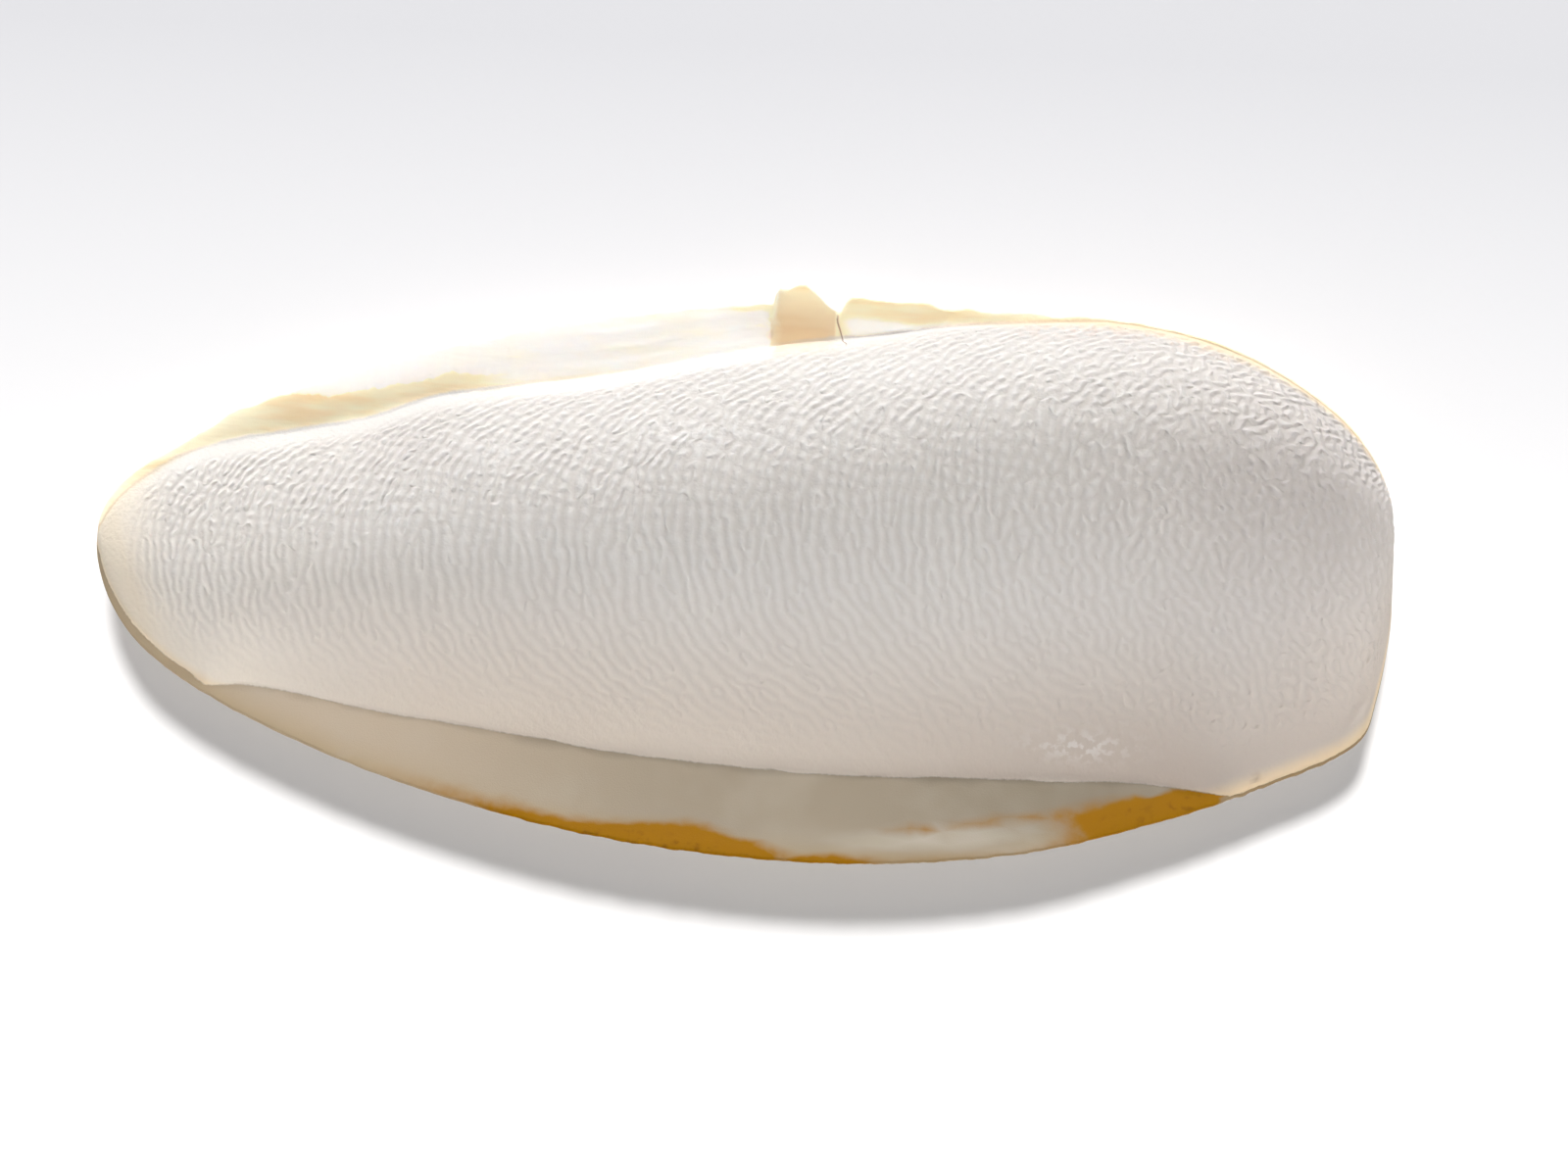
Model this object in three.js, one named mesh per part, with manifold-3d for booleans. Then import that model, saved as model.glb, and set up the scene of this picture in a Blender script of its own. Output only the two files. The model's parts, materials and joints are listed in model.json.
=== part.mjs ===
// A cuttlebone, one grown piece, lying on its convex back with its soft ridged face up.
// Millimetres. +X runs along the bone to its blunt end, +Y across it to the chipped margin,
// +Z up out of the ridged face. The origin is the middle of the underside of its box.
import * as THREE from 'three';
import { mergeVertices } from 'three/addons/utils/BufferGeometryUtils.js';
import Module from 'manifold-3d';

// Driving dimensions
const length = 125;
const shieldThickness = 0.7; // the hard shield, which is all there is at the thin margins
const lengthwiseRadius = 390; // the back's two curvatures, at the point it rests on
const crosswiseRadius = 63;
const restPoint = new THREE.Vector2(9.6, 1.6); // under the centre of mass
const restDepth = 0.2; // how much the back's granules are worn flat where it rests
const crestShift = { narrowEnd: -0.05, bluntEnd: 0.42 }; // crest towards +Y, in half widths
const lip = { narrowEnd: 1.4, bluntEnd: 0.4, fades: 25 }; // bare edge all round the body
const flap = { lift: 0.35, thickness: 0.7, sink: 0.3 }; // lift in radians
const stations = 72; // steps along the bone
const bodySteps = 22; // steps across the body, and across each margin
const marginSteps = 3;
const backSteps = 16;

// The edge seen from above: the narrow end's tip, the -Y side, the blunt end, the +Y side.
const edge = [
  [-62.5, -0.8], [-60.6, -7.3], [-55.5, -12.9], [-45, -18.6], [-30, -24], [-12, -28], [8, -29.5],
  [26, -28], [40, -24.2], [50, -20.4], [58.5, -16.2], [60.9, -11.4], [62.5, -2], [62.2, 8],
  [59.4, 14], [54, 18.8], [46, 22.8], [36, 25], [20, 25.5], [0, 25.4], [-20, 22.3], [-37, 17.7],
  [-48, 13.2], [-56, 8.3], [-60.8, 4.2],
];

// The body's height over the shield along its crest: share of the length, height.
const crestHeights = [
  [0, 0], [0.04, 3], [0.15, 7.5], [0.35, 12.5], [0.6, 15.2], [0.8, 14.4], [0.93, 11], [0.985, 6], [1, 0],
];

// The margins' widths beyond the lip: x, width.
const lowerMargin = [
  [-51, 0], [-46, 3], [-38, 5.2], [-24, 7.6], [-8, 8.6], [10, 8.6], [26, 7.3], [38, 4.2], [47, 0],
];
const upperMargin = [
  [-55, 0], [-50, 0.9], [-45, 2.2], [-38, 3.6], [-28, 3.6], [-16, 3.9], [0, 3.2], [9, 2.6], [18, 0.6],
  [40, 0],
];

// A flake of the upper margin, lifted beside a split in it, both seen from above.
const flapOutline = [[1.3, 21.4], [8.4, 21.6], [7.5, 23.6], [4.6, 26.6], [1.9, 26.4]];
const splitOutline = [[6.9, 28], [9, 28], [7.9, 23.9]];

const pairs = (list) => list.map(([x, y]) => new THREE.Vector2(x, y));

// y at x along a run of points in order of x.
function heightAt(points, x) {
  const after = points.findIndex((point) => point.x >= x);
  if (after < 1) return points.at(after).y; // the first point's, or past the run the last one's
  const [a, b] = [points[after - 1], points[after]];
  return THREE.MathUtils.mapLinear(x, a.x, b.x, a.y, b.y);
}

// The edge as two runs from the narrow end to the blunt one.
function edgeRuns() {
  const at = edge.map(([x, y]) => new THREE.Vector3(x, y, 0));
  const around = new THREE.CatmullRomCurve3(at, true, 'catmullrom').getPoints(edge.length * 40);
  const byX = (best, point, i) => (point.x > around[best].x ? i : best);
  const bluntTip = around.reduce(byX, 0);
  return { lower: around.slice(0, bluntTip + 1), upper: around.slice(bluntTip).reverse() };
}

const { lower, upper } = edgeRuns();
const [crestLine, lowerWidths, upperWidths] = [crestHeights, lowerMargin, upperMargin].map(
  (points) => new THREE.SplineCurve(pairs(points)).getPoints(300),
);

function lipWidth(x) {
  const share = THREE.MathUtils.smoothstep(x, -length / 2, -length / 2 + lip.fades);
  return THREE.MathUtils.lerp(lip.narrowEnd, lip.bluntEnd, share);
}

// The four places across the bone at x: its edges, and the body's.
function crossing(x) {
  const [low, high] = [heightAt(lower, x), heightAt(upper, x)];
  const most = (high - low) / 4;
  const lowBody = low + Math.min(most, lipWidth(x) + heightAt(lowerWidths, x));
  const highBody = high - Math.min(most, lipWidth(x) + heightAt(upperWidths, x));
  return [low, lowBody, highBody, high];
}

// The dish that the shield is curved to; its lowest part is worn off to the flat z = 0.
function dishHeight(x, y) {
  const alongRise = (x - restPoint.x) ** 2 / (2 * lengthwiseRadius);
  const acrossRise = (y - restPoint.y) ** 2 / (2 * crosswiseRadius);
  return alongRise + acrossRise - restDepth;
}

// The body's height over the shield at a share of the way across it.
function bodyHeight(x, share) {
  const towardsBlunt = THREE.MathUtils.smoothstep(x, -length / 2, length / 2);
  const shift = THREE.MathUtils.lerp(crestShift.narrowEnd, crestShift.bluntEnd, towardsBlunt);
  const side = 2 * share - 1 - shift;
  const across = 1 - (Math.abs(side) / (side < 0 ? 1 + shift : 1 - shift)) ** 2;
  return heightAt(crestLine, x / length + 0.5) * Math.max(across, 0);
}

// A point of the skin: along from 0 to 1, step counted round from the -Y edge over the top.
function skinPoint(along, step, target) {
  const spread = THREE.MathUtils.lerp(along - 0.5, -Math.cos(Math.PI * along) / 2, 0.8);
  const x = spread * (length - 0.001);
  const [low, lowBody, highBody, high] = crossing(x);
  const topSteps = 2 * marginSteps + bodySteps;
  if (step > topSteps) {
    const y = THREE.MathUtils.lerp(high, low, (step - topSteps - 1) / backSteps);
    return target.set(x, y, Math.max(dishHeight(x, y), 0));
  }
  const shareOfBody = THREE.MathUtils.clamp((step - marginSteps) / bodySteps, 0, 1);
  let y = THREE.MathUtils.lerp(lowBody, highBody, shareOfBody);
  if (step < marginSteps) y = THREE.MathUtils.lerp(low, lowBody, step / marginSteps);
  const past = step - marginSteps - bodySteps;
  if (past > 0) y = THREE.MathUtils.lerp(highBody, high, past / marginSteps);
  const endTaper = Math.min(1, 40 * along * (1 - along));
  const thickness = shieldThickness * endTaper + bodyHeight(x, shareOfBody);
  return target.set(x, y, dishHeight(x, y) + thickness);
}

// A ball's grid of points, laid over the bone: its poles are the bone's two ends.
function boneGeometry() {
  const aroundSteps = 2 * marginSteps + bodySteps + backSteps + 2;
  const ball = new THREE.SphereGeometry(1, aroundSteps, stations);
  const { position, uv } = ball.attributes;
  const point = new THREE.Vector3();
  for (let i = 0; i < position.count; i += 1) {
    const along = 1 - uv.getY(i);
    const step = Math.round(uv.getX(i) * aroundSteps) % aroundSteps;
    const atPole = along < 0.5 / stations || along > 1 - 0.5 / stations;
    skinPoint(along, atPole ? 0 : step, point);
    position.setXYZ(i, point.x, point.y, point.z);
  }
  return ball;
}

// An outline seen from above, made a plate that rises from z = 0.
function plateGeometry(outline, depth) {
  return new THREE.ExtrudeGeometry(new THREE.Shape(pairs(outline)), { depth, bevelEnabled: false });
}

function flapGeometry() {
  const hingeY = flapOutline[0][1];
  const hingeZ = dishHeight(flapOutline[0][0], hingeY) + shieldThickness - flap.sink;
  return plateGeometry(flapOutline, flap.thickness)
    .translate(0, -hingeY, 0)
    .rotateX(flap.lift)
    .translate(0, hingeY, hingeZ);
}

const wasm = await Module();
wasm.setup();

function solid(geometry) {
  geometry.deleteAttribute('normal');
  geometry.deleteAttribute('uv');
  const merged = mergeVertices(geometry, 1e-4);
  const vertProperties = merged.attributes.position.array;
  const triVerts = new Uint32Array(merged.index.array);
  return new wasm.Manifold(new wasm.Mesh({ numProp: 3, vertProperties, triVerts }));
}

function geometryOf(manifold) {
  const mesh = manifold.getMesh();
  const geometry = new THREE.BufferGeometry();
  geometry.setAttribute('position', new THREE.BufferAttribute(mesh.vertProperties, 3));
  geometry.setIndex(new THREE.BufferAttribute(mesh.triVerts, 1));
  return geometry;
}

// The whole bone, split and flap included, moved so that its box stands on the origin.
function cuttlebone() {
  const split = solid(plateGeometry(splitOutline, length));
  const whole = geometryOf(solid(boneGeometry()).subtract(split).add(solid(flapGeometry())));
  whole.computeBoundingBox();
  const middle = whole.boundingBox.getCenter(new THREE.Vector3());
  whole.translate(-middle.x, -middle.y, -whole.boundingBox.min.z);
  const chalk = new THREE.MeshStandardMaterial({ color: '#ece8e2', roughness: 0.9, metalness: 0 });
  const mesh = new THREE.Mesh(whole, chalk);
  mesh.name = 'cuttlebone';
  return mesh;
}

const part = new THREE.Group();
part.add(cuttlebone());

export default part;
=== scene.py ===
import json
import math
import bpy
import numpy as np
from mathutils import Matrix, Vector

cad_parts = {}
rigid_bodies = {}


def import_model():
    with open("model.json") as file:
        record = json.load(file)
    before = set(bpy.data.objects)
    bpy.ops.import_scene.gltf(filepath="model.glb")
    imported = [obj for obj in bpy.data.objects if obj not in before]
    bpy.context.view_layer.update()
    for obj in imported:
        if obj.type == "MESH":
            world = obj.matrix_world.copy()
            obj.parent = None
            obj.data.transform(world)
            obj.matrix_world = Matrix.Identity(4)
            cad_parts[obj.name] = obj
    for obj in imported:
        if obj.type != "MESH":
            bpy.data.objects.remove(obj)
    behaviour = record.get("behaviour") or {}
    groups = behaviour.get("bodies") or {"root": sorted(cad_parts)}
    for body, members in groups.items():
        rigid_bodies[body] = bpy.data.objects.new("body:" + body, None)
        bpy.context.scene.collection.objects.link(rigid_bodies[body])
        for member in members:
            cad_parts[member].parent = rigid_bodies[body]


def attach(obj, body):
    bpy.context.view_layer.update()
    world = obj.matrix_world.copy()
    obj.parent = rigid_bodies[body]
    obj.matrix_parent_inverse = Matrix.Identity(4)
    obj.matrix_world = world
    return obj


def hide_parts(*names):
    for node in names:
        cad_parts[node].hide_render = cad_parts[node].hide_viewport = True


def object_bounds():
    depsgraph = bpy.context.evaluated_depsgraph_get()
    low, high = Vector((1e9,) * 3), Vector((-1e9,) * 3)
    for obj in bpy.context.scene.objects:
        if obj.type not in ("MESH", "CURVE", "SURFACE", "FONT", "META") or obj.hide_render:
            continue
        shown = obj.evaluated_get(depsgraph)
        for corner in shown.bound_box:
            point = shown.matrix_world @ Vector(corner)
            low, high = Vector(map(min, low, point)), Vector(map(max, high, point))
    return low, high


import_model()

cadLow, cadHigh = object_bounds()
mm = 0.001


def smoothStep(low, high, x):
    t = np.clip((x - low) / (high - low), 0, 1)
    return t * t * (3 - 2 * t)


def spot(x, y, middle, size):
    return np.exp(-((x - middle[0]) / size[0]) ** 2 - ((y - middle[1]) / size[1]) ** 2)


def spots(x, y, rows):
    return sum(weight * spot(x, y, middle, size) for weight, middle, size in rows)


# The bone's form, in millimetres: x along it, y across it, z up

form = {
    "length": 125.0,
    "shield": 0.7,                  # thickness of the hard shield at the margins
    "lengthwiseRadius": 390.0,
    "crosswiseRadius": 63.0,
    "restAt": (9.6, 1.6),
    "restDepth": 0.2,
    "crestShift": (-0.05, 0.42),    # at the narrow end and at the blunt one, in half widths
    "lip": (1.4, 0.4, 25.0),        # bare edge at the narrow end, at the blunt one, and how far it narrows
    "lowerMargin": [
        (-51, 0), (-46, 3), (-38, 5.2), (-24, 7.6), (-8, 8.6), (10, 8.6), (26, 7.3), (38, 4.2), (47, 0),
    ],
    "upperMargin": [
        (-55.5, 0), (-51, 1.4), (-45, 3.4), (-38, 4.7), (-31, 4.2), (-24, 4.7), (-14, 5.0), (-4, 4.3), (4, 3.4),
        (12, 2.4), (20, 1.1), (34, 0),
    ],
    "goldBand": [                   # how far out the upper margin's gold band reaches
        (-56, 3.5), (-47, 3.6), (-43, 2.9), (-37, 2.6), (-31, 1.8), (-25, 1.5), (-19, 0),
    ],
    "edge": [
        (-62.5, -0.8), (-60.6, -7.3), (-55.5, -12.9), (-45, -18.6), (-30, -24), (-12, -28), (8, -29.5),
        (26, -28), (40, -24.2), (50, -20.4), (58.5, -16.2), (60.9, -11.4), (62.5, -2), (62.2, 8),
        (59.4, 14), (54, 18.8), (46, 22.8), (36, 25), (20, 25.5), (0, 25.4), (-20, 22.3), (-37, 17.7),
        (-48, 13.2), (-56, 8.3), (-60.8, 4.2),
    ],
    "crestHeights": [
        (0, 0), (0.04, 3), (0.15, 7.5), (0.35, 12.5), (0.6, 15.2), (0.8, 14.4), (0.93, 11), (0.985, 6), (1, 0),
    ],
    "flapRim": [                    # how far the upper rim stands out round the flap and the split
        (1.5, 0), (1.7, 1), (4.6, 1.05), (7.5, -0.9), (7.9, -0.95), (8.9, 0.5), (14, 0.35), (24, 0),
    ],
    "flapFoot": 21.6,               # y where the lifted flap leaves the bone, and how high it rises
    "flapRise": 1.8,
    "tornAt": 1.3,                  # x of the flap's torn side at its foot
    "split": (7.6, 7.95),           # x where the flap ends at the split, and where the rim beside it starts
    "besideSplit": (7.7, 8.2),
    "besideRise": 0.7,
    "curl": (0.5, 0.25),            # rise of the strip that curls up, and the rest of it nearer the rim
    "curlEnds": (-48, -42, -26, -14),
    "leaf": 0.1,                    # height of the fine leaves between the curl and the flap
    "chips": {                      # depth, seed, longest wave and octaves of each run of small chips
        "upper": (0.16, 11, 7, 4),
        "lower": (0.05, 12, 5, 4),
        "lowerBlunt": (0.1, 13, 4, 3),
    },
    "notch": (-51.5, -50.9, -46, 0.3),      # x where it starts, is deepest and ends, and how deep
}

# Steps of the mesh: along the bone, and across each of its zones; and the triangles kept at the end
steps = {"along": 620, "body": 260, "lowerMargin": 34, "upperMargin": 26, "rim": 4, "back": 48}
trianglesKept = 192000


def smoothCurve(points, closed, perSpan=40):
    p = np.array(points, float)
    if not closed:
        p = np.vstack([p[:1], p, p[-1:]])
    count = len(p) if closed else len(p) - 3
    t = (np.arange(perSpan) / perSpan)[:, None]
    runs = []
    for i in range(count):
        a, b, c, d = (p[(i + k - (1 if closed else 0)) % len(p)] for k in range(4))
        v, w = (c - a) / 2, (d - b) / 2
        runs.append((2 * b - 2 * c + v + w) * t ** 3 + (3 * c - 3 * b - 2 * v - w) * t ** 2 + v * t + b)
    if not closed:
        runs.append(p[-1:])
    return np.vstack(runs)


def edgeRuns(f):
    around = smoothCurve(f["edge"], closed=True)
    around = np.roll(around, -int(np.argmin(around[:, 0])), axis=0)
    blunt = int(np.argmax(around[:, 0]))
    return around[:blunt + 1], np.vstack([around[blunt:], around[:1]])[::-1]


lowerRun, upperRun = edgeRuns(form)
crestLine, lowerWidths, upperWidths = (
    smoothCurve(form[run], closed=False) for run in ("crestHeights", "lowerMargin", "upperMargin")
)
edgeShift = (cadLow[0] - lowerRun[:, 0].min() * mm, cadLow[1] - lowerRun[:, 1].min() * mm)


def along(run, x):
    return np.interp(x, run[:, 0], run[:, 1])


def waves(x, seed, longest, octaves):
    dice = np.random.default_rng(seed)
    total = np.zeros_like(x)
    for octave in range(octaves):
        length = longest / 2 ** octave
        for phase in dice.uniform(0, 2 * math.pi, 3):
            total += np.sin(2 * math.pi * x / (length * dice.uniform(0.7, 1.4)) + phase) / 1.6 ** octave
    return total / 3


def crossing(f, x):
    # y of the lower edge, the body's two borders and the upper edge
    low, high = along(lowerRun, x), along(upperRun, x)
    most = (high - low) / 4
    narrow, blunt, fades = f["lip"]
    lip = narrow + (blunt - narrow) * smoothStep(-f["length"] / 2, fades - f["length"] / 2, x)
    lowBody = low + np.minimum(most, lip + along(lowerWidths, x))
    highBody = high - np.minimum(most, lip + along(upperWidths, x))
    return low, lowBody, highBody, high


def softBorders(f, reach=4.5):
    # the body's two borders with their corners rounded, for the height of the body away from them
    xs = np.linspace(-f["length"] / 2, f["length"] / 2, 1001)
    kernel = np.exp(-(np.arange(-100, 101) * (xs[1] - xs[0]) / reach) ** 2)
    kernel /= kernel.sum()
    borders = crossing(f, xs)[1:3]
    return xs, *(np.convolve(np.pad(border, 100, mode="edge"), kernel, mode="valid") for border in borders)


softAt, softLow, softHigh = softBorders(form)


def softShare(x, y, share, lowBody, highBody):
    low, high = np.interp(x, softAt, softLow), np.interp(x, softAt, softHigh)
    inside = smoothStep(0, 5, np.minimum(y - lowBody, highBody - y)) * smoothStep(0, 4, 62.5 - abs(x))
    return share + (np.clip((y - low) / (high - low), 0, 1) - share) * inside


def brokenRims(f, x, low, high):
    # small chips along the thin edges, and the flap with the split beside it
    def chips(run):
        depth, seed, longest, octaves = f["chips"][run]
        return depth * waves(x, seed, longest, octaves)

    inside = smoothStep(-60, -54, x)
    starts, deepest, stops, depth = f["notch"]
    upperChips = chips("upper") * inside * (1 - smoothStep(30, 50, x))
    upperChips += depth * (smoothStep(starts, deepest, x) - smoothStep(deepest, stops, x))
    lowerChips = chips("lower") * inside + chips("lowerBlunt") * smoothStep(44, 48, x)
    ends = 1 - smoothStep(54, 60, x)
    flap = np.interp(x, *np.array(f["flapRim"]).T)
    return low + lowerChips * ends, high + upperChips * ends + flap


def dishHeight(f, x, y):
    rise = (x - f["restAt"][0]) ** 2 / (2 * f["lengthwiseRadius"])
    return rise + (y - f["restAt"][1]) ** 2 / (2 * f["crosswiseRadius"]) - f["restDepth"]


def bodyHeight(f, x, share):
    narrow, blunt = f["crestShift"]
    shift = narrow + (blunt - narrow) * smoothStep(-f["length"] / 2, f["length"] / 2, x)
    side = 2 * share - 1 - shift
    across = 1 - (side / np.where(side < 0, 1 + shift, 1 - shift)) ** 2
    return along(crestLine, x / f["length"] + 0.5) * np.maximum(across, 0)


def bandBorder(f, x):
    place = np.atleast_1d(np.asarray(x, float))
    border = np.interp(place, *np.array(f["goldBand"]).T) + 0.25 * waves(place, 21, 6, 4)
    return border if np.ndim(x) else float(border[0])


def marginLift(f, x, y, highBody):
    # the upper margin is split into leaves: one strip curls up, and one flake is lifted clear
    past = np.maximum(y - highBody, 0)
    border = bandBorder(f, x)
    first, rest = f["curl"]
    starts, whole, fades, gone = f["curlEnds"]
    curls = smoothStep(starts, whole, x)
    strip = first * smoothStep(border - 0.2, border + 0.5, past) * curls
    strip += rest * smoothStep(border + 0.5, border + 2.5, past) * curls
    strip *= 1 - smoothStep(fades, gone, x)
    leaves = f["leaf"] * np.sin(past * 4.2 + 0.12 * x) * smoothStep(-26, -16, x) * (1 - smoothStep(-2, 1, x))
    height = np.clip((y - f["flapFoot"]) / 4.8, 0, 1.2)
    torn = f["tornAt"] + 0.6 * height       # the torn side slants
    flap = smoothStep(torn - 0.12, torn + 0.12, x) * (1 - smoothStep(*f["split"], x)) * f["flapRise"]
    beside = f["besideRise"] * smoothStep(*f["besideSplit"], x) * (1 - smoothStep(9, 22, x))
    return strip + leaves * smoothStep(0.3, 0.8, past) + height * (flap + beside)


def evenly(y, z, count):
    run = np.concatenate([[0], np.cumsum(np.hypot(np.diff(y), np.diff(z)))])
    want = np.linspace(0, run[-1], count + 1)
    return np.interp(want, run, y), np.interp(want, run, z)


zones = ["lowerMargin", "body", "upperMargin", "upperRim", "back", "lowerRim"]


def sectionAt(f, x, taper):
    low, lowBody, highBody, high = crossing(f, x)
    low, high = brokenRims(f, np.array([x]), low, high)
    low, high = float(low[0]), float(high[0])
    curve = min(0.3, (high - low) / 10)
    thick = f["shield"] * taper
    share = np.linspace(0, 1, 500)
    bodyY = lowBody + (highBody - lowBody) * share
    bodyZ = dishHeight(f, x, bodyY) + thick + bodyHeight(f, x, softShare(x, bodyY, share, lowBody, highBody))
    turn = np.linspace(0, math.pi, steps["rim"] + 1)[1:-1]
    parts = {}

    y = np.linspace(low + curve, lowBody, steps["lowerMargin"] + 1)[:-1]
    parts["lowerMargin"] = (y, dishHeight(f, x, y) + thick)
    y, z = evenly(bodyY, bodyZ, steps["body"])
    parts["body"] = (y[:-1], z[:-1])
    y = np.linspace(highBody, high - curve, steps["upperMargin"] + 1)
    parts["upperMargin"] = (y, dishHeight(f, x, y) + thick + marginLift(f, x, y, highBody))
    middle = dishHeight(f, x, high) + marginLift(f, x, high, highBody) + thick / 2
    parts["upperRim"] = (high - curve + curve * np.sin(turn), middle + thick / 2 * np.cos(turn))
    y = np.linspace(high - curve, low + curve, steps["back"] + 1)
    parts["back"] = (y, np.maximum(dishHeight(f, x, y), 0) + marginLift(f, x, y, highBody))
    middle = dishHeight(f, x, low) + thick / 2
    parts["lowerRim"] = (low + curve - curve * np.sin(turn), middle - thick / 2 * np.cos(turn))
    return parts


def boneGrid(f):
    share = np.linspace(0, 1, steps["along"] + 1)
    xs = (0.25 * (share - 0.5) - 0.75 * np.cos(math.pi * share) / 2) * (f["length"] - 0.004)
    nearEnd = np.clip(1 - np.minimum(share, 1 - share) * steps["along"] / 6, 0, 1)
    tapers = np.sqrt(np.maximum(1 - nearEnd ** 2, 0.02))
    sections = [sectionAt(f, x, t) for x, t in zip(xs, tapers)]
    ys = np.array([np.concatenate([s[z][0] for z in zones]) for s in sections])
    zs = np.array([np.concatenate([s[z][1] for z in zones]) for s in sections])
    zone = np.concatenate([np.full(len(sections[0][z][0]), i) for i, z in enumerate(zones)])
    return np.stack([np.repeat(xs[:, None], ys.shape[1], 1), ys, zs], -1), zone


def readPoints(mesh, layer="co"):
    flat = np.empty(len(mesh.vertices) * 3, np.float32)
    source = mesh.vertices if layer == "co" else mesh.vertex_normals
    source.foreach_get("co" if layer == "co" else "vector", flat)
    return flat.reshape(-1, 3).astype(float)


def writePoints(mesh, points):
    mesh.vertices.foreach_set("co", points.astype(np.float32).ravel())
    mesh.update()


def writeMask(mesh, name, values):
    layer = mesh.attributes.new(name, "FLOAT", "POINT")
    layer.data.foreach_set("value", np.asarray(values, np.float32))


def readMask(mesh, name):
    values = np.empty(len(mesh.vertices), np.float32)
    mesh.attributes[name].data.foreach_get("value", values)
    return values.astype(float)


def shapeBone(f):
    # a ball's rings and segments are laid over the bone, with its poles at the bone's two ends
    grid, zone = boneGrid(f)
    rings, around = grid.shape[0] - 1, grid.shape[1]
    bpy.ops.object.select_all(action="DESELECT")
    bpy.ops.mesh.primitive_uv_sphere_add(segments=around, ring_count=rings, radius=1)
    bone = bpy.context.object
    bone.name = "cuttleboneFinished"
    ball = readPoints(bone.data)
    ring = np.rint(np.arccos(np.clip(ball[:, 2], -1, 1)) / math.pi * rings).astype(int)
    place = np.rint(np.arctan2(ball[:, 1], ball[:, 0]) / (2 * math.pi) * around).astype(int) % around
    place[(ring == 0) | (ring == rings)] = 0
    points = grid[ring, place]
    writePoints(bone.data, points * mm + np.array([*edgeShift, 0]))
    bpy.ops.object.mode_set(mode="EDIT")
    bpy.ops.mesh.select_all(action="SELECT")
    bpy.ops.mesh.normals_make_consistent(inside=False)
    bpy.ops.object.mode_set(mode="OBJECT")
    bpy.ops.object.shade_smooth()
    print("bone is shaped:", len(bone.data.vertices), "points")
    return bone, grid, ring, place, zone[place], points


bone, grid, ring, place, zone, points = shapeBone(form)
across = dict(zip(("low", "lowBody", "highBody", "high"), crossing(form, points[:, 0])))
x, y = points[:, 0], points[:, 1]
inLower = across["lowBody"] - y         # how far a point is out on the lower margin, and on the upper one
inUpper = y - across["highBody"]
inZone = {name: zone == i for i, name in enumerate(zones)}
isTop = inZone["lowerMargin"] | inZone["body"] | inZone["upperMargin"]


# The ridges: rows like a fingerprint's, arched towards the narrow end; heights and sizes in millimetres

ridges = {
    "spacing": (0.90, 1.12),        # at the narrow end and past a third of the length
    "kernel": 1.7,                  # rows that stay in step with each other
    "turn": 0.052,                  # radians the rows lean per millimetre from the crest
    "leanMost": 0.88,
    "order": (0.95, 0.45),          # how well the rows keep to their lean, at the two ends
    "beadSpacing": 1.3,             # beads along a row, in rows
    "height": 0.15,
    "grainHeight": 0.05,
    "crumbHeight": 0.30,
    "swell": 0.12,                  # slow unevenness of the whole face
    "backGrainHeight": 0.07,
}


def ridgeMap(r):
    # distances over the surface, counted in rows
    narrow, wide = r["spacing"]
    stepAlong = np.linalg.norm(np.diff(grid, axis=0), axis=2)
    stations = grid[:, 0, 0]
    spacing = narrow + (wide - narrow) * smoothStep(-58, -20, stations)
    u = np.vstack([np.zeros((1, grid.shape[1])), np.cumsum(stepAlong / spacing[1:, None], axis=0)])
    u -= u[len(u) // 2]
    stepAcross = np.linalg.norm(np.diff(grid, axis=1), axis=2)
    v = np.hstack([np.zeros((len(grid), 1)), np.cumsum(stepAcross, axis=1)])
    crest = steps["lowerMargin"] + steps["body"] // 2
    v -= v[:, crest:crest + 1]
    return u[ring, place], v[ring, place], spacing[ring]


def markRidges(r):
    mesh = bone.data
    u, v, spacing = ridgeMap(r)
    layer = mesh.attributes.new("ridgeMap", "FLOAT_VECTOR", "POINT")
    flat = np.stack([u, v / spacing, np.zeros_like(u)], -1)
    layer.data.foreach_set("vector", flat.astype(np.float32).ravel())
    lean = v * r["turn"] * (1 - 0.3 * smoothStep(0, 40, x) * (v > 0))
    lean = np.clip(lean, -r["leanMost"], r["leanMost"])
    writeMask(mesh, "ridgeLean", -lean)
    tidy, loose = r["order"]
    order = tidy + (loose - tidy) * smoothStep(10, 50, x)
    order -= 0.3 * (1 - smoothStep(2, 9, -inLower))
    writeMask(mesh, "ridgeOrder", np.clip(order, 0, 1))
    upperBare = smoothStep(0.8, 3.0, -inUpper) + smoothStep(8, 24, x) * smoothStep(0.1, 0.8, -inUpper)
    lowerFade = 0.25 * smoothStep(0.4, 1.5, -inLower) + 0.75 * smoothStep(1.5, 7, -inLower)
    bareCorner = 1 - 0.8 * spot(x, -inLower, (44, 0), (14, 4.5))
    tip = smoothStep(-61.5, -54, x)
    ridged = np.clip(upperBare, 0, 1) * lowerFade * bareCorner * tip
    ridged *= 0.8 + 0.4 * smoothStep(-7, 6, v)
    writeMask(mesh, "ridged", np.where(inZone["body"], ridged, 0))
    beaded = 0.2 + 0.4 * smoothStep(-5, 6, v) + 0.2 * smoothStep(15, 45, x)
    writeMask(mesh, "beaded", np.clip(beaded, 0, 0.65))


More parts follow.
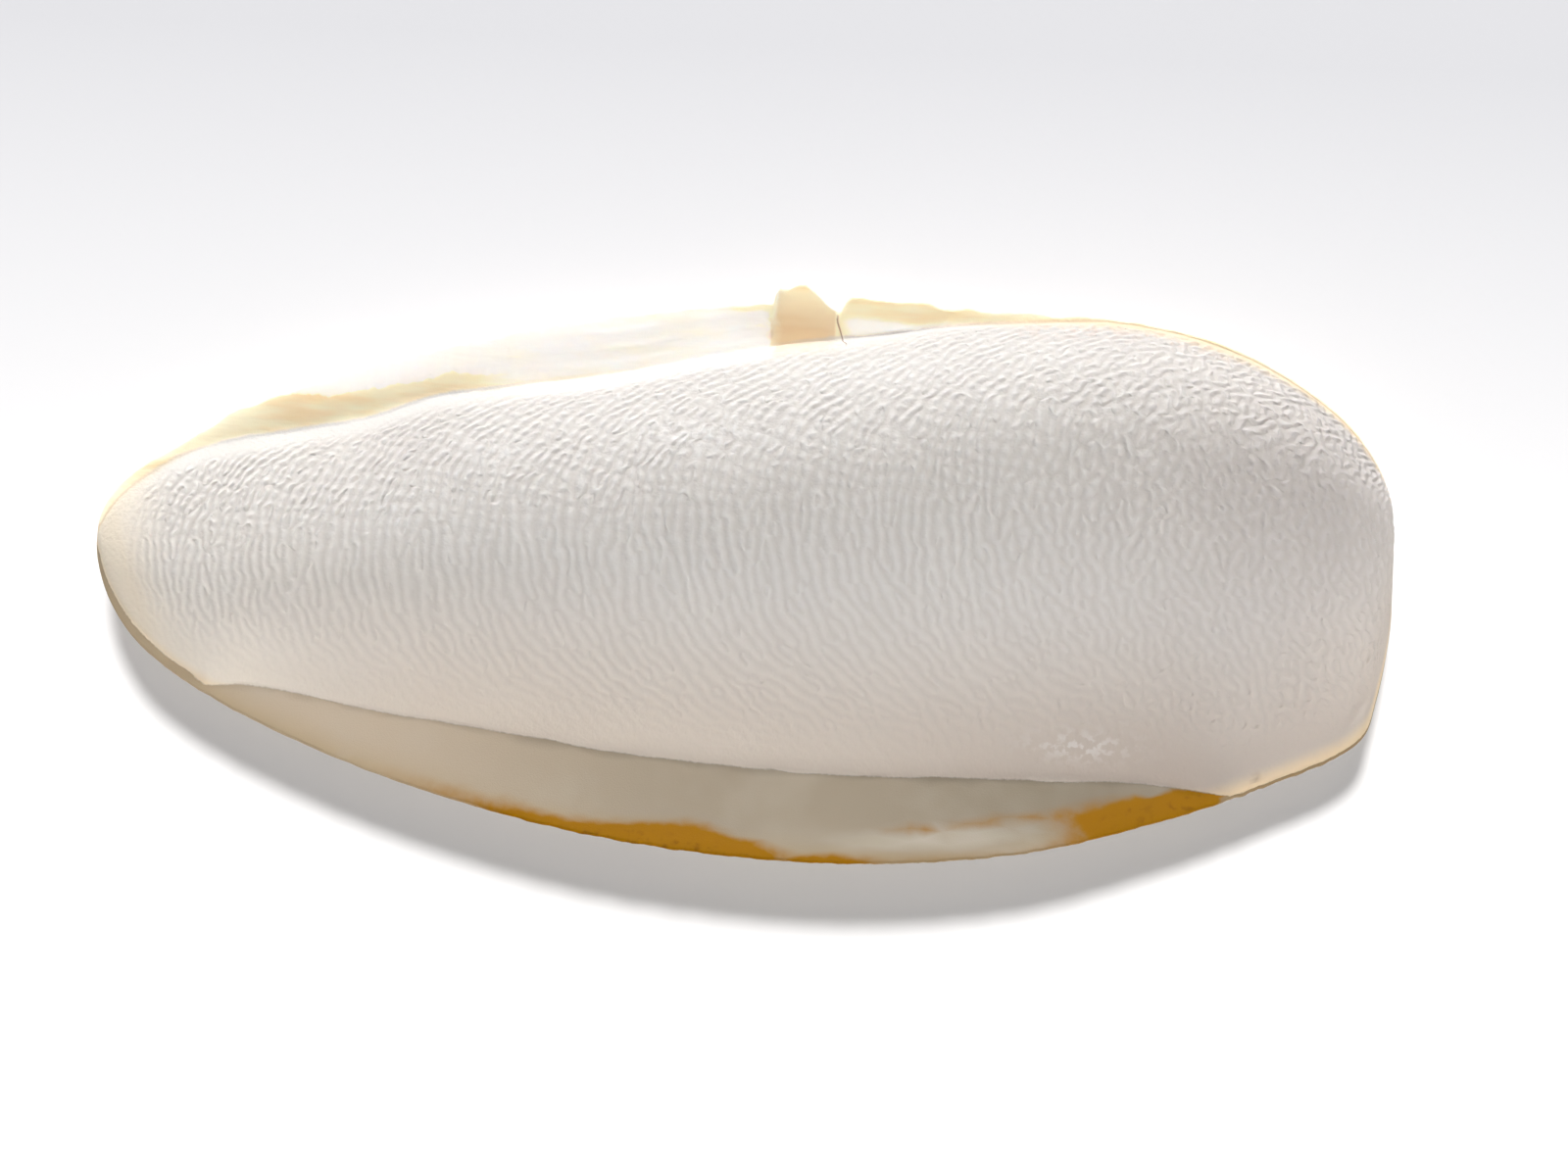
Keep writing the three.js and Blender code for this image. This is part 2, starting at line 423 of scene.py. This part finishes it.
wear = {
    "scratched": [(0.9, (-24.3, 8.0), (3.5, 1.3)), (1, (-5.4, 10.2), (6.5, 1.6))],  # weight, place and size
    "scuffed": [(0.8, (-33.8, 2.2), (3.0, 1.8)), (0.6, (10, 18), (8, 2.0))],
    "shoulder": 0.9,                # crumbs along the body's upper border
    "flaky": [(0.65, (32.5, -17.2), (4.6, 1.2))],
    "powder": (0.45, 0.75),         # white powder on the scratched places and on the flaky one
}


def markWear(w):
    mesh = bone.data
    shoulder = w["shoulder"] * np.exp(-((inUpper + 0.3) / 0.9) ** 2)
    worn = spots(x, y, w["scratched"]) + spots(x, y, w["scuffed"])
    worn += shoulder * smoothStep(-26, -16, x) * (1 - smoothStep(0, 8, x))
    flakes = spots(x, y, w["flaky"])
    onWorn, onFlakes = w["powder"]
    writeMask(mesh, "worn", np.where(inZone["body"], np.clip(worn + flakes, 0, 1), 0))
    powdery = np.clip(onWorn * worn + onFlakes * flakes, 0, 1)
    writeMask(mesh, "powdery", np.where(inZone["body"], powdery, 0))


# Fields sampled at the mesh's points by a geometry node tree

def fieldTree(fields):
    tree = bpy.data.node_groups.new("boneFields", "GeometryNodeTree")
    tree.interface.new_socket("Geometry", in_out="INPUT", socket_type="NodeSocketGeometry")
    tree.interface.new_socket("Geometry", in_out="OUTPUT", socket_type="NodeSocketGeometry")
    flow = tree.nodes.new("NodeGroupInput").outputs[0]
    position = tree.nodes.new("GeometryNodeInputPosition").outputs[0]

    def named(name, kind):
        node = tree.nodes.new("GeometryNodeInputNamedAttribute")
        node.data_type = kind
        node.inputs["Name"].default_value = name
        return node.outputs["Attribute"]

    for name, field in fields.items():
        node = tree.nodes.new(field["node"])
        if field["node"] == "ShaderNodeTexGabor":
            tree.links.new(named("ridgeMap", "FLOAT_VECTOR"), node.inputs["Vector"])
            lean = tree.nodes.new("ShaderNodeMath")
            tree.links.new(named("ridgeLean", "FLOAT"), lean.inputs[0])
            lean.inputs[1].default_value = field["turned"]
            tree.links.new(lean.outputs[0], node.inputs["Orientation"])
            tree.links.new(named("ridgeOrder", "FLOAT"), node.inputs["Anisotropy"])
            node.inputs["Frequency"].default_value = field["kernel"]
            node.inputs["Scale"].default_value = 1 / (field["kernel"] * field["spacing"])
            result = node.outputs["Phase"]
        else:
            tree.links.new(position, node.inputs["Vector"])
            node.inputs["Scale"].default_value = 1 / (field["size"] * mm)
            node.inputs["Detail"].default_value = field["detail"]
            result = node.outputs[0]
        store = tree.nodes.new("GeometryNodeStoreNamedAttribute")
        store.inputs["Name"].default_value = name
        tree.links.new(flow, store.inputs["Geometry"])
        tree.links.new(result, store.inputs["Value"])
        flow = store.outputs["Geometry"]
    tree.links.new(flow, tree.nodes.new("NodeGroupOutput").inputs[0])
    return tree


def sampleFields(fields):
    modifier = bone.modifiers.new("fields", "NODES")
    modifier.node_group = fieldTree(fields)
    bpy.ops.object.modifier_apply(modifier="fields")


def raiseRidges(r, w):
    markRidges(r)
    markWear(w)
    gabor = {"node": "ShaderNodeTexGabor", "kernel": r["kernel"]}
    sampleFields({
        "rowPhase": {**gabor, "turned": 0.0, "spacing": 1.0},
        "beadPhase": {**gabor, "turned": math.pi / 2, "spacing": r["beadSpacing"]},
        "grain": {"node": "ShaderNodeTexNoise", "size": 0.5, "detail": 2},
        "crumbs": {"node": "ShaderNodeTexNoise", "size": 0.9, "detail": 4},
        "swells": {"node": "ShaderNodeTexNoise", "size": 16, "detail": 2},
        "backGrain": {"node": "ShaderNodeTexNoise", "size": 1.3, "detail": 3},
    })
    mesh = bone.data
    rows, beads, grain, crumbs, swells, backGrain = (
        readMask(mesh, name) for name in ("rowPhase", "beadPhase", "grain", "crumbs", "swells", "backGrain")
    )
    ridged, worn = readMask(mesh, "ridged"), readMask(mesh, "worn")
    row = (0.5 + 0.5 * np.cos(2 * math.pi * rows)) ** 0.8
    bead = 0.5 + 0.5 * np.cos(2 * math.pi * beads)
    beaded = readMask(mesh, "beaded")
    strength = ridged * (1 - beaded * (1 - bead))
    writeMask(mesh, "ridgeStrength", strength)
    # painted shade: a mask of the grooves between the rows, where a darker tone is laid
    writeMask(mesh, "shadedGrooves", np.clip(ridged - strength * row, 0, 1))
    lift = r["height"] * strength * row * (1 - 0.6 * worn)
    onBody = inZone["body"] * smoothStep(0, 1.2, -inLower) * smoothStep(0, 1.2, -inUpper)
    lift += onBody * (r["grainHeight"] * (grain - 0.5) * 2 + r["swell"] * (swells - 0.5) * 4)
    lift += r["crumbHeight"] * worn * (crumbs - 0.45) * 2
    lift += inZone["back"] * r["backGrainHeight"] * (backGrain - 0.5) * 2
    moved = readPoints(mesh) + readPoints(mesh, "normal") * (lift * mm)[:, None]
    moved[:, 2] = np.maximum(moved[:, 2], 0)
    writePoints(mesh, moved)
    print("ridges are raised")


raiseRidges(ridges, wear)


# Stains and leaves of the margins, with some painted shade and glow, as masks that the finish reads

stains = {                          # spots are weight, place and size; out is counted from the edge
    "amber": 1.1,
    "amberBand": (0.3, 2.4, -5, 6.5),       # least width, how much wider at most, where, and its spread
    "amberSpots": [(0.8, (8.5, 0), (3.2, 0.5)), (0.35, (-24, 0.5), (9, 0.8))],
    "leaf": 1.25,                   # the amber leaf at the blunt end
    "leafEnds": (28, 40, 45.2, 46),
    "leafTop": (2.7, 0.06),         # how far out it reaches at x = 40, and how fast that falls
    "streak": (0.5, 3.3, 0.35),     # weight, place and width of the tan streak above the pale lens
    "paleSpots": [(1.2, (19.2, 2.2), (8.5, 0.85)), (0.6, (27, 0.5), (5, 0.5))],
    "paleLine": (0.5, -38, 0.25),   # weight, x and width of the pale line across the lower margin
    "dull": [(1, (53, 8), (11, 8)), (0.35, (-34, 9), (7, 4))],
    "lowRight": [(1, (42, 0), (31, 8))],
    "goldSpots": [(1, (-1, 0.5), (3, 0.5))],
    "blushSpots": [(0.6, (7, -1.2), (8, 1.0))],
    "crack": ((21.4, 8.75), (23.9, 7.8)),   # y and x of the crack's two ends
    # the two spots at the flap's foot are painted shade under its torn side; the third, near the blunt end's
    # lower edge, is a dark mark
    "torn": [
        (0.35, (1.3, 22.4), (0.45, 0.5)), (0.3, (0.6, 23.4), (0.9, 0.2)), (0.6, (49.3, -19.6), (0.3, 0.45)),
    ],
}


def amberStain(s, outLower):
    least, more, middle, spread = s["amberBand"]
    ragged = 0.35 * waves(x, 31, 5, 4)
    band = least + more * np.exp(-((x - middle) / spread) ** 2) + ragged
    amber = s["amber"] * (1 - smoothStep(0.3 * band, band + 0.9, outLower)) * smoothStep(-26, -12, x)
    amber *= 1 - 0.85 * smoothStep(1, 5, x)
    amber += spots(x, outLower, s["amberSpots"])
    starts, whole, fades, gone = s["leafEnds"]
    reach, falls = s["leafTop"]
    top = reach - falls * (x - 40) + 0.5 * ragged
    leaf = smoothStep(starts, whole, x) * (1 - smoothStep(fades, gone, x))
    leaf *= 1 - smoothStep(top - 0.6, top, outLower)
    amber += s["leaf"] * leaf * (0.55 + 0.45 * smoothStep(0.1, 1.2, outLower))
    weight, place, width = s["streak"]
    streak = np.exp(-((outLower - place - 0.02 * (x - 20)) / width) ** 2)
    return amber + weight * streak * smoothStep(8, 18, x) * (1 - smoothStep(34, 38, x))


def paleMarks(s, outLower):
    weight, middle, width = s["paleLine"]
    line = np.exp(-((x - middle - 0.1 * inLower) / width) ** 2)
    return spots(x, outLower, s["paleSpots"]) + weight * line * smoothStep(0.5, 1.5, inLower)


def goldLeaves(s, outUpper):
    border = bandBorder(form, x)
    gold = (1 - smoothStep(border - 0.15, border + 0.35, inUpper)) * (1 - smoothStep(-30, -18, x))
    gold += 0.5 * np.exp(-(outUpper / 0.35) ** 2) * (1 - smoothStep(-30, -10, x))
    gold += spots(x, outUpper, s["goldSpots"])
    return gold + smoothStep(1.2, 1.5, x) * (1 - 0.7 * smoothStep(8, 9, x) * smoothStep(0.9, 2.0, outUpper))


def markMargins(s):
    mesh = bone.data
    outLower = y - across["low"]
    outUpper = across["high"] - y
    amber = amberStain(s, outLower)
    writeMask(mesh, "pale", np.clip(paleMarks(s, outLower), 0, 1) * inZone["lowerMargin"])
    writeMask(mesh, "amber", np.clip(amber, 0, 1.2) * (inZone["lowerMargin"] | inZone["lowerRim"]))
    writeMask(mesh, "towardsEdge", 1 - smoothStep(0, 3.2, outLower))
    writeMask(mesh, "browned", smoothStep(-42, 0, x) * 0.7 + smoothStep(5, 35, x) * 0.3)
    writeMask(mesh, "gold", np.clip(goldLeaves(s, outUpper), 0, 1))
    writeMask(mesh, "outerEdge", 0.7 * np.exp(-(outUpper / 0.7) ** 2) * smoothStep(-30, -15, x))
    for name, out, rim in (("outOnLower", inLower, "lowerRim"), ("outOnUpper", inUpper, "upperRim")):
        writeMask(mesh, name, np.where(inZone[rim], 3, np.where(isTop, np.clip(out, -6, 12), -6)))
    # painted brightening: the body fades into the upper margin's cream near its border and takes the margin's
    # painted glow
    fade = smoothStep(-2.6, 0.6, inUpper) * smoothStep(-30, -20, x) * (1 - smoothStep(2, 12, x))
    writeMask(mesh, "glowingFade", fade * isTop)
    rim = 1 - smoothStep(0.4, 2.2, np.minimum(outLower, outUpper))
    writeMask(mesh, "rim", np.where(isTop, rim, 1))
    flap = smoothStep(1.6, 2.0, x) * (1 - smoothStep(7.4, 7.8, x)) * (1 - 0.6 * smoothStep(22.5, 26, y))
    writeMask(mesh, "flap", flap * (y > 15))


def markBody(s):
    mesh = bone.data
    writeMask(mesh, "leftEnd", 1 - smoothStep(-62, -28, x))
    writeMask(mesh, "rightEnd", smoothStep(20, 60, x))
    # painted warm shade: the body's lower side is tinted warmer and darker, for bounce light and shade there
    writeMask(mesh, "lowSideWarmShade", 1 - smoothStep(0, 18, -inLower))
    writeMask(mesh, "lowRight", spots(x, inLower, s["lowRight"]) * inZone["body"])
    writeMask(mesh, "dull", spots(x, y, s["dull"]) * inZone["body"])
    warm = 1 - smoothStep(-62.5, -54, x)
    warm += 0.7 * (1 - smoothStep(-58, -36, x)) * (1 - smoothStep(0, 9, -inLower))
    writeMask(mesh, "warmTip", np.clip(warm, 0, 1))
    blush = np.exp(-((inUpper + 1.2) / 1.3) ** 2) * smoothStep(22, 30, x) * (1 - smoothStep(44, 52, x))
    blush += spots(x, inUpper, s["blushSpots"])
    writeMask(mesh, "blush", blush * inZone["body"])
    writeMask(mesh, "back", inZone["back"])


def markCrack(s):
    mesh = bone.data
    (lowY, lowX), (highY, highX) = s["crack"]
    writeMask(mesh, "offCrack", np.clip(x - np.interp(y, [lowY, highY], [lowX, highX]), -3, 3))
    reach = smoothStep(lowY - 0.2, lowY + 0.3, y) * (1 - smoothStep(highY + 0.3, highY + 0.7, y))
    writeMask(mesh, "crackReach", reach * isTop)
    # dark marks, partly painted shade at the foot of the lifted flap
    writeMask(mesh, "torn", spots(x, y, s["torn"]) * isTop)
    print("stains are marked")


markMargins(stains)
markBody(stains)
markCrack(stains)


def thin(share):
    # fewer faces where the bone is plain, so that the ridges keep theirs
    modifier = bone.modifiers.new("thin", "DECIMATE")
    modifier.ratio = share
    bpy.ops.object.modifier_apply(modifier="thin")
    print("bone has", len(bone.data.polygons), "faces")


bone.data.calc_loop_triangles()
thin(trianglesKept / len(bone.data.loop_triangles))


# The bone's finish: its colours with some painted shade and a painted glow, then its gloss and relief

finish = {
    "chalk": (0.805, 0.785, 0.76, 1),
    "chalkLeft": (0.93, 0.90, 0.855, 1),
    "chalkRight": (0.785, 0.745, 0.715, 1),
    "lowRight": (0.52, 0.45, 0.40, 1),
    "dull": (0.60, 0.565, 0.55, 1),
    "warmTip": (0.94, 0.83, 0.67, 1),
    "blush": (0.84, 0.68, 0.58, 1),
    # painted shade, laid in the grooves between the rows
    "grooveShade": (0.60, 0.555, 0.51, 1),
    # painted warm shade of the body's lower side
    "lowSideWarmShade": (0.79, 0.70, 0.605, 1),
    "powder": (0.90, 0.89, 0.875, 1),
    "margin": (0.51, 0.425, 0.325, 1),
    "marginBrowned": (0.287, 0.243, 0.182, 1),
    "marginEdge": (0.40, 0.29, 0.145, 1),
    "marginPale": (0.50, 0.455, 0.385, 1),
    "amber": (0.335, 0.15, 0.001, 1),
    "amberDark": (0.19, 0.08, 0.002, 1),
    "cream": (1.0, 0.95, 0.905, 1),
    "peach": (1.0, 0.87, 0.74, 1),
    "gold": (0.85, 0.79, 0.63, 1),
    "goldDeep": (0.74, 0.60, 0.38, 1),
    "flap": (0.62, 0.465, 0.285, 1),
    "rim": (0.92, 0.73, 0.47, 1),
    "back": (0.80, 0.72, 0.64, 1),
    "crack": (0.30, 0.19, 0.12, 1),
    "layers": [                     # tone, mask and weight of each, laid one over another on the body
        ("lowRight", "lowRight", 0.7), ("chalkLeft", "leftEnd", 0.9), ("warmTip", "warmTip", 0.85),
        ("dull", "dull", 0.85), ("grooveShade", "shadedGrooves", 0.5),
    ],
    "chalkRoughness": 0.88,
    "marginRoughness": 0.48,
    "shine": 0.06,
    "paintedGlow": 0.24,               # painted glow: emission on the thin upper margin and the rims, for light shining through them
    "deepLight": (0.10, 0.85),      # subsurface share of the body, and what the upper margin adds
    "deepReach": 1.2,               # mm
    "ridgeBump": 0.085,             # heights of the finer relief, in mm
    "fineBump": 0.075,
    "dustBump": 0.014,
    "leafBump": 0.35,
}


class Finish:
    # a material, with short names for adding and joining its nodes
    def __init__(self, name):
        self.material = bpy.data.materials.new(name)
        self.material.use_nodes = True
        self.tree = self.material.node_tree
        self.shader = self.tree.nodes["Principled BSDF"]

    def add(self, kind, **inputs):
        node = self.tree.nodes.new(kind)
        for key, value in inputs.items():
            self.feed(node.inputs[key.replace("_", " ")], value)
        return node

    def feed(self, socket, value):
        if isinstance(value, bpy.types.NodeSocket):
            self.tree.links.new(value, socket)
        else:
            socket.default_value = value

    def mask(self, name):
        node = self.add("ShaderNodeAttribute")
        node.attribute_name = name
        return node.outputs["Fac"]

    def calc(self, kind, a, b, c=None):
        node = self.add("ShaderNodeMath")
        node.operation = kind
        for i, value in enumerate((a, b) if c is None else (a, b, c)):
            self.feed(node.inputs[i], value)
        return node.outputs[0]

    def blend(self, low, high, share):
        node = self.add("ShaderNodeMix")
        node.data_type = "RGBA"
        self.feed(node.inputs[0], share)
        self.feed(node.inputs[6], low)
        self.feed(node.inputs[7], high)
        return node.outputs[2]

    def lay(self, under, tone, share, weight):
        # a thin layer of a tone over what is there
        return self.blend(under, tone, self.calc("MULTIPLY", share, weight))

    def step(self, value, low, high):
        node = self.add("ShaderNodeMapRange", Value=value, From_Min=low, From_Max=high)
        node.interpolation_type = "SMOOTHSTEP"
        return node.outputs[0]

    def noise(self, where, size, detail=2.0):
        node = self.add("ShaderNodeTexNoise", Vector=where, Scale=1 / (size * mm), Detail=detail)
        return node.outputs[0]


def bodyColour(f, c, where):
    colour = f.blend(c["chalk"], c["chalkRight"], f.mask("rightEnd"))
    colour = f.lay(colour, c["lowSideWarmShade"], f.mask("lowSideWarmShade"), 0.8)
    patchy = f.calc("MULTIPLY", f.mask("blush"), f.step(f.noise(where, 1.1, 3), 0.42, 0.62))
    colour = f.lay(colour, c["blush"], patchy, 0.7)
    for tone, mask, weight in c["layers"]:
        colour = f.lay(colour, c[tone], f.mask(mask), weight)
    crumbs = f.step(f.noise(where, 0.9, 4), 0.47, 0.58)
    colour = f.lay(colour, c["powder"], f.mask("powdery"), crumbs)
    return f.lay(colour, c["rim"], f.mask("rim"), 0.75)


def lowerColour(f, c, cloud):
    colour = f.blend(c["margin"], c["marginBrowned"], f.mask("browned"))
    colour = f.lay(colour, c["marginPale"], f.step(cloud, 0.45, 0.75), 0.2)
    colour = f.lay(colour, c["marginEdge"], f.mask("towardsEdge"), 0.5)
    return f.blend(colour, c["marginPale"], f.mask("pale"))


def upperColour(f, c, streaks):
    drawn = f.step(streaks, 0.45, 0.7)
    outer = f.calc("MAXIMUM", f.calc("MULTIPLY", drawn, 0.85), f.mask("outerEdge"))
    cream = f.blend(c["cream"], c["peach"], outer)
    gold = f.lay(c["gold"], c["goldDeep"], drawn, 0.6)
    band = f.calc("MULTIPLY_ADD", f.calc("SUBTRACT", streaks, 0.5), 1.1, f.mask("gold"))
    colour = f.blend(cream, gold, f.step(band, 0.2, 0.8))
    return f.lay(colour, c["flap"], f.mask("flap"), 0.6)


def withAmber(f, c, where, colour, lower):
    stain = f.mask("amber")
    patches = f.calc("SUBTRACT", f.noise(where, 1.3, 3), 0.5)
    broken = f.calc("MULTIPLY_ADD", patches, f.calc("MULTIPLY", stain, 0.9), stain)
    colour = f.lay(colour, c["amber"], f.step(broken, 0.02, 0.5), lower)
    specks = f.step(f.noise(where, 0.8, 2), 0.5, 0.75)
    return f.lay(colour, c["amberDark"], f.calc("MULTIPLY", specks, f.step(broken, 0.6, 1.1)), 0.6)


def withCrack(f, c, colour):
    # dark marks in the crack's colour, partly painted shade at the flap's foot
    colour = f.blend(colour, c["crack"], f.mask("torn"))
    onCrack = f.step(f.calc("ABSOLUTE", f.mask("offCrack"), 0), 0.13, 0.03)
    return f.lay(colour, c["crack"], onCrack, f.calc("MULTIPLY", f.mask("crackReach"), 0.75))


def ridgeRow(f, r):
    # the same rows as the raised ones, so that the finer relief follows them
    rowMap = f.add("ShaderNodeAttribute")
    rowMap.attribute_name = "ridgeMap"
    rows = f.add("ShaderNodeTexGabor", Vector=rowMap.outputs["Vector"], Frequency=r["kernel"])
    f.feed(rows.inputs["Scale"], 1 / r["kernel"])
    f.feed(rows.inputs["Orientation"], f.mask("ridgeLean"))
    f.feed(rows.inputs["Anisotropy"], f.mask("ridgeOrder"))
    turned = f.calc("MULTIPLY", rows.outputs["Phase"], 2 * math.pi)
    return f.calc("MULTIPLY_ADD", f.calc("COSINE", turned, 0), 0.5, 0.5)


def finishBone(c, r):
    f = Finish("chalkBone")
    where = f.add("ShaderNodeTexCoord").outputs["Object"]
    cloud = f.noise(where, 7)
    fine = f.noise(where, 0.35, 2)
    streaked = f.add("ShaderNodeMapping", Vector=where, Scale=(0.16, 1.0, 1.0))
    streaks = f.noise(streaked.outputs[0], 2.2, 3)
    unevenly = f.calc("MULTIPLY", f.calc("SUBTRACT", fine, 0.5), 0.2)
    lower = f.step(f.calc("ADD", f.mask("outOnLower"), unevenly), 0.0, 0.25)
    upper = f.step(f.calc("ADD", f.mask("outOnUpper"), unevenly), 0.0, 0.4)
    # the fade near the upper border carries the margin's cream and its painted glow
    upper = f.calc("MAXIMUM", upper, f.calc("MULTIPLY", f.mask("glowingFade"), 0.85))

    colour = f.blend(bodyColour(f, c, where), lowerColour(f, c, cloud), lower)
    colour = f.blend(colour, upperColour(f, c, streaks), upper)
    colour = withAmber(f, c, where, colour, lower)
    backTone = f.blend(c["back"], c["gold"], f.step(cloud, 0.5, 0.8))
    colour = f.blend(colour, backTone, f.mask("back"))
    colour = withCrack(f, c, colour)

    smooth = f.calc("MAXIMUM", lower, upper)
    span = c["marginRoughness"] - c["chalkRoughness"]
    # painted glow: the upper margin, the body's fade into it and the rims give off their own colour
    paintedGlowShare = f.calc("ADD", upper, f.calc("MULTIPLY", f.mask("rim"), 0.15))
    least, more = c["deepLight"]
    for name, value in {
        "Base Color": colour,
        "Roughness": f.calc("MULTIPLY_ADD", smooth, span, c["chalkRoughness"]),
        "Specular IOR Level": c["shine"],
        "Emission Color": colour,
        "Emission Strength": f.calc("MULTIPLY", paintedGlowShare, c["paintedGlow"]),
        "Subsurface Weight": f.calc("MULTIPLY_ADD", upper, more, least),
        "Subsurface Radius": (1.0, 0.85, 0.7),
        "Subsurface Scale": c["deepReach"] * mm,
    }.items():
        f.feed(f.shader.inputs[name], value)

    rough = f.calc("SUBTRACT", 1.0, smooth)
    height = f.calc("MULTIPLY", f.calc("MULTIPLY", ridgeRow(f, r), f.mask("ridgeStrength")), c["ridgeBump"])
    height = f.calc("MULTIPLY_ADD", f.calc("MULTIPLY", fine, rough), c["fineBump"], height)
    height = f.calc("MULTIPLY_ADD", f.noise(where, 0.12, 0), c["dustBump"], height)
    leaves = f.calc("MULTIPLY", f.calc("SUBTRACT", streaks, 0.5), upper)
    height = f.calc("MULTIPLY_ADD", leaves, c["leafBump"], height)
    bump = f.add("ShaderNodeBump", Height=height, Distance=mm, Strength=1.0)
    f.feed(f.shader.inputs["Normal"], bump.outputs[0])
    bone.data.materials.clear()
    bone.data.materials.append(f.material)
    print("bone is finished")


finishBone(finish, ridges)
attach(bone, "root")
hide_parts("cuttlebone")


# Camera: looks down on the ridged face, a little from the side of the wide margin

view = {
    "elevation": 80,        # degrees above the floor
    "roll": 2.35,           # the bone's axis falls a little to the right
    "lens": 85,
    "distance": 354.5,      # mm, from the aim
    "aimHeight": 8.0,
    "aside": 3.5,           # how far the view's middle is right of the bone's, and below it
    "below": 3.4,
}


def addCamera(v):
    up = math.radians(v["elevation"])
    back = Vector((0, -math.cos(up), math.sin(up)))
    roll = Matrix.Rotation(math.radians(v["roll"]), 4, "Z").to_quaternion()
    turn = back.to_track_quat("Z", "Y") @ roll
    side, top = turn @ Vector((1, 0, 0)), turn @ Vector((0, 1, 0))
    middle = Vector((0, edgeShift[1], v["aimHeight"] * mm))
    aim = middle + side * v["aside"] * mm - top * v["below"] * mm
    bpy.ops.object.camera_add(location=aim + back * v["distance"] * mm)
    camera = bpy.context.object
    camera.name = "viewCamera"
    camera.rotation_mode = "QUATERNION"
    camera.rotation_quaternion = turn
    camera.data.lens = v["lens"]
    camera.data.sensor_width = 36
    camera.data.clip_start = 0.01
    camera.data.clip_end = 20
    bpy.context.scene.camera = camera
    print("camera stands at", tuple(round(c, 3) for c in camera.location))


# Floor and light

studio = {
    "floorSide": 6.0,
    "floorShade": (0.84, 0.84, 0.85, 1),
    "farShade": (0.57, 0.576, 0.606, 1),    # painted shade: the floor is greyer behind the bone
    "greysFrom": (-0.012, 0.055),
    "floorGlow": 0.06,
    "sky": (1.0, 0.99, 0.98, 1),
    "skyStrength": 0.22,
    "lights": [                     # name, height in degrees, turn from behind, strength, softness in degrees
        ("lowKey", 11, -10, 2.6, 10),
        ("shadowLight", 55, -4, 0.95, 13),
        ("frontFill", 24, 158, 1.75, 28),
        ("floorLight", 55, -4, 2.5, 13),
    ],
    "shadowless": ["lowKey"],       # it shines through the thin margin
    "onlyOn": {"frontFill": "cuttleboneFinished", "floorLight": "floor"},
    "lightColour": (1.0, 0.985, 0.965),
    "whiter": ["lowKey"],           # lights without the warm tint
}


def addFloor(s):
    bpy.ops.object.select_all(action="DESELECT")
    bpy.ops.mesh.primitive_plane_add(size=s["floorSide"], location=(0, 0, 0))
    floor = bpy.context.object
    floor.name = "floor"
    paint = bpy.data.materials.new("paleFloor")
    paint.use_nodes = True
    nodes, links = paint.node_tree.nodes, paint.node_tree.links
    shader = nodes["Principled BSDF"]
    shader.inputs["Roughness"].default_value = 0.9
    shader.inputs["Specular IOR Level"].default_value = 0.1
    shader.inputs["Emission Color"].default_value = (1, 1, 1, 1)
    shader.inputs["Emission Strength"].default_value = s["floorGlow"]
    place = nodes.new("ShaderNodeSeparateXYZ")
    links.new(nodes.new("ShaderNodeTexCoord").outputs["Object"], place.inputs[0])
    # painted shade: the floor's colour greys with distance behind the bone
    fade = nodes.new("ShaderNodeMapRange")
    for name, value in zip(("From Min", "From Max"), s["greysFrom"]):
        fade.inputs[name].default_value = value
    shade = nodes.new("ShaderNodeMix")
    shade.data_type = "RGBA"
    shade.inputs[6].default_value, shade.inputs[7].default_value = s["floorShade"], s["farShade"]
    links.new(place.outputs["Y"], fade.inputs["Value"])
    links.new(fade.outputs[0], shade.inputs[0])
    links.new(shade.outputs[2], shader.inputs["Base Color"])
    floor.data.materials.append(paint)


def addStudio(s):
    addFloor(s)
    world = bpy.data.worlds.new("paleRoom")
    world.use_nodes = True
    world.node_tree.nodes["Background"].inputs["Color"].default_value = s["sky"]
    world.node_tree.nodes["Background"].inputs["Strength"].default_value = s["skyStrength"]
    bpy.context.scene.world = world
    for name, height, turn, strength, softness in s["lights"]:
        up, aside = math.radians(height), math.radians(turn)
        towards = Vector((math.cos(up) * math.sin(aside), math.cos(up) * math.cos(aside), math.sin(up)))
        bpy.ops.object.light_add(type="SUN", location=towards)
        sun = bpy.context.object
        sun.name = name
        sun.rotation_mode = "QUATERNION"
        sun.rotation_quaternion = towards.to_track_quat("Z", "Y")
        sun.data.energy = strength
        sun.data.angle = math.radians(softness)
        sun.data.color = (1, 1, 1) if name in s["whiter"] else s["lightColour"]
        sun.data.use_shadow = name not in s["shadowless"]
        if name in s["onlyOn"]:
            lit = bpy.data.collections.new(name + "Reaches")
            lit.objects.link(bpy.data.objects[s["onlyOn"][name]])
            sun.light_linking.receiver_collection = lit
    bpy.context.scene.view_settings.view_transform = "Standard"
    print("studio is lit")


addCamera(view)
addStudio(studio)
